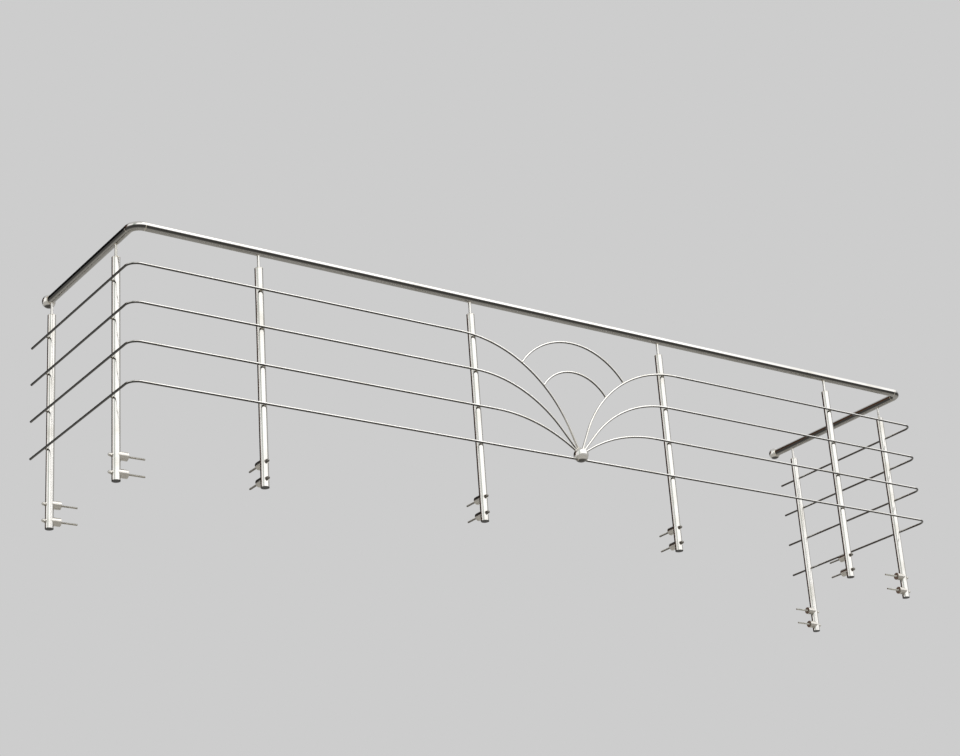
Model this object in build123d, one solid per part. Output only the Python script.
from build123d import *
import os
from math import acos, atan2, cos, degrees, hypot, pi, radians, sin, sqrt

# Balcony railing in stainless steel, millimetres.
# X runs along the front from left to right as seen from outside, +Y points at the building, +Z up.
# The origin is on the slab's front edge, on the axis of the upper anchor of the first front post.

# Posts
post_diameter = 42.4
post_wall = 2.0
post_below_lower_anchor = 41.2
post_cap_thickness = 4.0
post_cap_edge = 1.2
plug_thickness = 3.0
plug_depth = 15.0
plug_wall = 2.4
plug_edge_round = 1.0
plug_clearance = 0.1

# Fixing to the slab
slab_gap = 35.0
spacer_edge = 1.0
anchor_pitch = 86.1
anchor_diameter = 10.0
anchor_hole = 11.0
anchor_embedment = 90.0
anchor_mark_depth = 0.5
anchor_mark_width = 1.5
anchor_tip_chamfer = 1.0
nut_across_flats = 17.0
nut_hex_height = 8.0
nut_corner_bevel = 0.9
nut_dome_diameter = 16.0
nut_height = 18.0
washer_diameter = 22.0
washer_thickness = 2.0
weld_gap = 0.1

# Plan of the railing, between post axes
left_bay = 670.0
first_front_bay = 1255.0
middle_front_bay = 1265.0
last_front_bay = 1264.0
right_bay = 630.0
left_near_post_setback = 193.0
left_far_post_setback = 943.6
right_near_post_setback = 185.7
right_far_post_setback = 958.2

# Infill rods
rod_diameter = 12.0
rod_stand_off = 5.6
bottom_rod_height = 287.2
rod_pitch = 200.0
rod_corner_radius = 58.0
rod_end_chamfer = 1.0
left_rods_past_post = 169.1
right_rods_past_post = 173.7
peg_diameter = 10.0

# Handrail
rail_diameter = 44.5
rail_wall = 2.0
rail_axis_height = 1102.9
rail_corner_radius = 56.0
left_rail_past_post = 12.0
right_rail_past_post = 141.0
end_ball_diameter = 70.0
stem_diameter = 14.0
stem_length = 69.0

# Fan ornament in the middle bay
fan_offset = -5.0
fan_ball_diameter = 80.0
fan_ball_above_rod = 26.0
top_sweep_start = 716.0
top_sweep_straight = 154.0
middle_sweep_start = 642.0
middle_sweep_straight = 171.0
low_sweep_start = 522.0
low_sweep_straight = 40.0
arch_centre_above_bottom_rod = 245.0
outer_arch_radius = 421.0
inner_arch_radius = 250.5

# Worked out from the sizes above
post_radius = post_diameter / 2
rod_radius = rod_diameter / 2
rail_radius = rail_diameter / 2
ball_radius = end_ball_diameter / 2
ball_past_rail = sqrt(ball_radius**2 - rail_radius**2)
fan_ball_radius = fan_ball_diameter / 2
post_to_slab = post_radius + slab_gap
post_bottom = -anchor_pitch - post_below_lower_anchor
post_above_anchor = rail_axis_height - rail_radius - stem_length - post_cap_thickness
rod_offset = post_radius + rod_stand_off + rod_radius
left_rod_reach = left_far_post_setback + left_rods_past_post
right_rod_reach = right_far_post_setback + right_rods_past_post
left_rail_reach = left_far_post_setback + left_rail_past_post
right_rail_reach = right_far_post_setback + right_rail_past_post

front_y = -post_to_slab
left_x = -left_bay
front_post_xs = [
    0.0,
    first_front_bay,
    first_front_bay + middle_front_bay,
    first_front_bay + middle_front_bay + last_front_bay,
]
right_x = front_post_xs[-1] + right_bay
anchor_heights = [0.0, -anchor_pitch]
rod_heights = [bottom_rod_height + i * rod_pitch for i in range(4)]
bottom_rod, low_rod, middle_rod, top_rod = rod_heights
rod_front_y = front_y - rod_offset
rod_left_x = left_x - rod_offset
rod_right_x = right_x + rod_offset
fan_x = (front_post_xs[1] + front_post_xs[2]) / 2 + fan_offset
fan_ball_height = bottom_rod + fan_ball_above_rod
arch_height = bottom_rod + arch_centre_above_bottom_rod

# Each post: its name, its place in plan, and the turn that points its local +Y at the slab
FRONT, LEFT, RIGHT = 0.0, -90.0, 90.0
post_places = {
    "left_post_far": (left_x, front_y + left_far_post_setback, LEFT),
    "left_post_near": (left_x, front_y + left_near_post_setback, LEFT),
    "front_post_1": (front_post_xs[0], front_y, FRONT),
    "front_post_2": (front_post_xs[1], front_y, FRONT),
    "front_post_3": (front_post_xs[2], front_y, FRONT),
    "front_post_4": (front_post_xs[3], front_y, FRONT),
    "right_post_near": (right_x, front_y + right_near_post_setback, RIGHT),
    "right_post_far": (right_x, front_y + right_far_post_setback, RIGHT),
}
sides = {"left": LEFT, "front": FRONT, "right": RIGHT}

# The corner bends start where the left return ends, and on the right where the front ends
quarter_turn = 90.0
bend_starts = {"left": 2 * quarter_turn, "right": 3 * quarter_turn}


def bar(start, end, radius):
    """A round bar between two points."""
    start, end = Vector(*start), Vector(*end)
    along = end - start
    plane = Plane(origin=start, z_dir=along)
    return plane * Cylinder(radius, along.length, align=(Align.CENTER, Align.CENTER, Align.MIN))


def pipe(start, end, radius, wall):
    """A round tube between two points, open at both ends."""
    return bar(start, end, radius) - bar(start, end, radius - wall)


def swept_bar(wire, radius):
    """A round bar along a wire of straight and round stretches."""
    return sweep(Plane(origin=wire @ 0, z_dir=wire % 0) * Circle(radius), path=wire)


def at_post(name):
    """The place and turn of a post, for solids drawn about its axis with the slab on +Y."""
    x, y, turn = post_places[name]
    return Location((x, y, 0), (0, 0, turn))


def posts_on(side):
    return [name for name, place in post_places.items() if place[2] == sides[side]]


def post():
    """The upright tube, drilled through for its two anchors."""
    tube = pipe((0, 0, post_bottom + plug_thickness), (0, 0, post_above_anchor), post_radius, post_wall)
    for height in anchor_heights:
        tube -= bar((0, -post_diameter, height), (0, post_diameter, height), anchor_hole / 2)
    return tube


def bottom_plug():
    """The plug that closes the lower end of a post: a rounded rim on the tube's end and a cup inside it."""
    rim_top = post_bottom + plug_thickness
    rim = bar((0, 0, post_bottom), (0, 0, rim_top), post_radius)
    rim = fillet(rim.edges().sort_by(Axis.Z)[0], plug_edge_round)
    inside = post_radius - post_wall - plug_clearance
    return rim + pipe((0, 0, rim_top), (0, 0, rim_top + plug_depth), inside, plug_wall)


def post_head():
    """The cap welded on the tube, and the stem that carries the handrail, coped to its underside."""
    top = post_above_anchor + post_cap_thickness
    cap = bar((0, 0, post_above_anchor), (0, 0, top), post_radius)
    cap = chamfer(cap.edges().sort_by(Axis.Z)[-1], post_cap_edge)
    stem = bar((0, 0, top), (0, 0, rail_axis_height), stem_diameter / 2)
    rail_start = (-post_diameter, 0, rail_axis_height)
    rail_end = (post_diameter, 0, rail_axis_height)
    return cap + (stem - bar(rail_start, rail_end, rail_radius + weld_gap))


def spacer(height):
    """The round spacer between post and slab, its outer end cut to the post and bored for the anchor."""
    body = bar((0, 0, height), (0, post_to_slab, height), post_radius)
    body = chamfer(body.edges().sort_by(Axis.Y)[-1], spacer_edge)
    body -= bar((0, 0, height - post_diameter), (0, 0, height + post_diameter), post_radius + weld_gap)
    return body - bar((0, 0, height), (0, post_to_slab, height), anchor_hole / 2)


def saddle_washer(height):
    """The washer under the nut: flat outside, cut to the post inside."""
    face = -(post_radius + washer_thickness)
    body = bar((0, face, height), (0, 0, height), washer_diameter / 2)
    body -= bar((0, 0, height - post_diameter), (0, 0, height + post_diameter), post_radius + weld_gap)
    return body - bar((0, face, height), (0, 0, height), anchor_hole / 2)


def anchor(height):
    """The cap nut and its stud, through post and spacer and set into the slab from its depth mark on."""
    seat = -(post_radius + washer_thickness)
    hex_plane = Plane(origin=(0, seat, height), z_dir=(0, -1, 0))
    hexagon = RegularPolygon(nut_across_flats / 2, 6, major_radius=False)
    nut = extrude(hex_plane * hexagon, amount=nut_hex_height)
    corners = bar((0, seat, height), (0, seat - nut_hex_height, height), nut_across_flats / sqrt(3))
    nut &= chamfer(corners.edges().filter_by(GeomType.CIRCLE), nut_corner_bevel)
    dome_radius = nut_dome_diameter / 2
    dome_centre = seat - nut_height + dome_radius
    nut += bar((0, seat - nut_hex_height, height), (0, dome_centre, height), dome_radius)
    nut += Location((0, dome_centre, height)) * Sphere(dome_radius)
    tip = post_to_slab + anchor_embedment
    stud = bar((0, seat, height), (0, tip, height), anchor_diameter / 2)
    stud = chamfer(stud.edges().sort_by(Axis.Y)[-1], anchor_tip_chamfer)
    mark_start = (0, post_to_slab - anchor_mark_width, height)
    mark_radius = anchor_diameter / 2 + anchor_mark_depth
    mark = pipe(mark_start, (0, post_to_slab, height), mark_radius, 2 * anchor_mark_depth)
    return nut + (stud - mark)


def peg(height, slope=0.0):
    """The short peg that carries a rod on the outer side of its post, cut to both; slope is the rod's."""
    body = bar((0, -rod_offset, height), (0, 0, height), peg_diameter / 2)
    body -= bar((0, 0, height - post_diameter), (0, 0, height + post_diameter), post_radius + weld_gap)
    rise = slope * post_diameter
    rod_start = (-post_diameter, -rod_offset, height - rise)
    rod_end = (post_diameter, -rod_offset, height + rise)
    return body - bar(rod_start, rod_end, rod_radius + weld_gap)


# The fan's sweeps: the rod's height, where its bend starts and the straight stretch at the ball
sweeps = [
    (low_rod, low_sweep_start, low_sweep_straight),
    (middle_rod, middle_sweep_start, middle_sweep_straight),
    (top_rod, top_sweep_start, top_sweep_straight),
]


def sweep_radius(height, start, straight):
    """The bend radius that leaves the rod's line at start and reaches the ball along its straight."""
    drop = height - fan_ball_height
    return (start**2 + drop**2 - straight**2) / (2 * drop)


def sweep_turn(height, start, straight):
    """The angle in radians through which the rod turns before its straight stretch."""
    radius = sweep_radius(height, start, straight)
    drop = height - fan_ball_height
    to_ball = atan2(fan_ball_height - (height - radius), -start)
    return to_ball - atan2(straight, radius) - pi / 2


def rod_at(height, x):
    """The height and slope of a rod's axis on the front at x, where its sweep may have begun."""
    for sweep_height, start, straight in sweeps:
        inward = start - abs(x - fan_x)
        if height == sweep_height and inward > 0:
            radius = sweep_radius(height, start, straight)
            level = sqrt(radius**2 - inward**2)
            slope = inward / level if x > fan_x else -inward / level
            return height - radius + level, slope
    return height, 0.0


def fan_sweep(height, start, straight, side, clearance=0.0):
    """One rod of the fan, from the end of its level run down to the ball; side is -1 left, +1 right."""
    radius = sweep_radius(height, start, straight)
    turn = sweep_turn(height, start, straight)
    begin = Vector(fan_x + side * start, rod_front_y, height)
    centre = begin - Vector(0, 0, radius)
    middle = centre + radius * Vector(-side * sin(turn / 2), 0, cos(turn / 2))
    end = centre + radius * Vector(-side * sin(turn), 0, cos(turn))
    ball = Vector(fan_x, rod_front_y, fan_ball_height)
    path = Wire([Edge.make_three_point_arc(begin, middle, end), Edge.make_line(end, ball)])
    return swept_bar(path, rod_radius + clearance) - fan_ball(weld_gap)


def fan_ball(clearance=0.0):
    return Location((fan_x, rod_front_y, fan_ball_height)) * Sphere(fan_ball_radius + clearance)


def fan_arch(arch_radius):
    """A round arch standing on the two top sweeps, its ends cut to them."""
    height, start, straight = sweeps[-1]
    radius = sweep_radius(height, start, straight)
    sweep_centre_height = height - radius
    rise = arch_height - sweep_centre_height
    apart = hypot(start, rise)
    along = (apart**2 + arch_radius**2 - radius**2) / (2 * apart)
    foot = degrees(atan2(-rise, start) + acos(along / arch_radius))
    plane = Plane(origin=(fan_x, rod_front_y, arch_height), x_dir=(1, 0, 0), z_dir=(0, -1, 0))
    arc = plane * CenterArc((0, 0), arch_radius, foot, 2 * (quarter_turn - foot))
    arch = swept_bar(Wire([arc]), rod_radius)
    for side in (-1, 1):
        arch -= fan_sweep(height, start, straight, side, weld_gap)
    return arch


def corner_bend(centre, radius, bar_radius, wall, start_angle):
    """A quarter bend about a vertical axis, turning on from start_angle; wall 0 makes it solid."""
    x, y, height = centre
    outward = Vector(cos(radians(start_angle)), sin(radians(start_angle)), 0)
    forward = Vector(-outward.Y, outward.X, 0)
    section = Plane(origin=Vector(x, y, height) + radius * outward, x_dir=outward, z_dir=forward)
    face = section * Circle(bar_radius)
    if wall:
        face -= section * Circle(bar_radius - wall)
    return revolve(face, Axis((x, y, height), (0, 0, 1)), quarter_turn)


def return_rod(x, height, reach):
    """A rod on one of the returns, from its corner bend to its free end, which is chamfered."""
    rod = bar((x, rod_corner_y, height), (x, front_y + reach, height), rod_radius)
    return chamfer(rod.edges().sort_by(Axis.Y)[-1], rod_end_chamfer)


nodes = {}

for name in post_places:
    nodes[name] = [at_post(name) * post()]
    nodes[name + "_head"] = [at_post(name) * post_head()]

for side in sides:
    places = [(at_post(name), height) for name in posts_on(side) for height in anchor_heights]
    nodes[side + "_spacers"] = [place * make(z) for place, z in places for make in (spacer, saddle_washer)]
    nodes[side + "_anchors"] = [place * anchor(z) for place, z in places]

nodes["post_bottom_plugs"] = [at_post(name) * bottom_plug() for name in post_places]

for side in ("left", "right"):
    nodes[side + "_rod_pegs"] = [at_post(n) * peg(z) for n in posts_on(side) for z in rod_heights]
nodes["front_rod_pegs"] = [
    at_post(name) * peg(*rod_at(z, post_places[name][0])) for name in posts_on("front") for z in rod_heights
]

# Rods of the two returns and the corner bends
left_corner_x = rod_left_x + rod_corner_radius
right_corner_x = rod_right_x - rod_corner_radius
rod_corner_y = rod_front_y + rod_corner_radius
for side, x, corner_x, reach in (
    ("left", rod_left_x, left_corner_x, left_rod_reach),
    ("right", rod_right_x, right_corner_x, right_rod_reach),
):
    nodes[side + "_return_rods"] = [return_rod(x, z, reach) for z in rod_heights]
    nodes[side + "_corner_rods"] = [
        corner_bend((corner_x, rod_corner_y, z), rod_corner_radius, rod_radius, 0, bend_starts[side])
        for z in rod_heights
    ]

# Rods of the front, the lowest running to the ball, the others to the start of their sweep
for side, corner_x, sign in (("left", left_corner_x, -1), ("right", right_corner_x, 1)):
    lowest = bar((corner_x, rod_front_y, bottom_rod), (fan_x, rod_front_y, bottom_rod), rod_radius)
    runs = [lowest - fan_ball(weld_gap)]
    for height, start, straight in sweeps:
        sweep_begin = (fan_x + sign * start, rod_front_y, height)
        runs.append(bar((corner_x, rod_front_y, height), sweep_begin, rod_radius))
    nodes["front_rods_" + side] = runs
    nodes["fan_sweeps_" + side] = [fan_sweep(h, s, t, sign) for h, s, t in sweeps]

nodes["fan_ball"] = [fan_ball()]
nodes["fan_outer_arch"] = [fan_arch(outer_arch_radius)]
nodes["fan_inner_arch"] = [fan_arch(inner_arch_radius)]

# Handrail
rail_left_corner_x = left_x + rail_corner_radius
rail_right_corner_x = right_x - rail_corner_radius
rail_corner_y = front_y + rail_corner_radius
left_ball_y = front_y + left_rail_reach + ball_past_rail
right_ball_y = front_y + right_rail_reach + ball_past_rail
nodes["handrail_front"] = [
    pipe(
        (rail_left_corner_x, front_y, rail_axis_height),
        (rail_right_corner_x, front_y, rail_axis_height),
        rail_radius,
        rail_wall,
    )
]
for side, x, corner_x, ball_y in (
    ("left", left_x, rail_left_corner_x, left_ball_y),
    ("right", right_x, rail_right_corner_x, right_ball_y),
):
    corner = (corner_x, rail_corner_y, rail_axis_height)
    run = pipe((x, rail_corner_y, rail_axis_height), (x, ball_y, rail_axis_height), rail_radius, rail_wall)
    place = Location((x, ball_y, rail_axis_height))
    nodes["handrail_" + side] = [run - place * Sphere(ball_radius + weld_gap)]
    nodes["handrail_bend_" + side] = [
        corner_bend(corner, rail_corner_radius, rail_radius, rail_wall, bend_starts[side])
    ]
    nodes["handrail_ball_" + side] = [place * Sphere(ball_radius)]

os.makedirs("parts", exist_ok=True)
for name, shapes in nodes.items():
    solids = [solid for shape in shapes for solid in shape.solids()]
    whole = solids[0] if len(solids) == 1 else Compound(solids)
    whole.label = name
    export_step(whole, os.path.join("parts", name + ".step"))
print(len(nodes), "nodes")
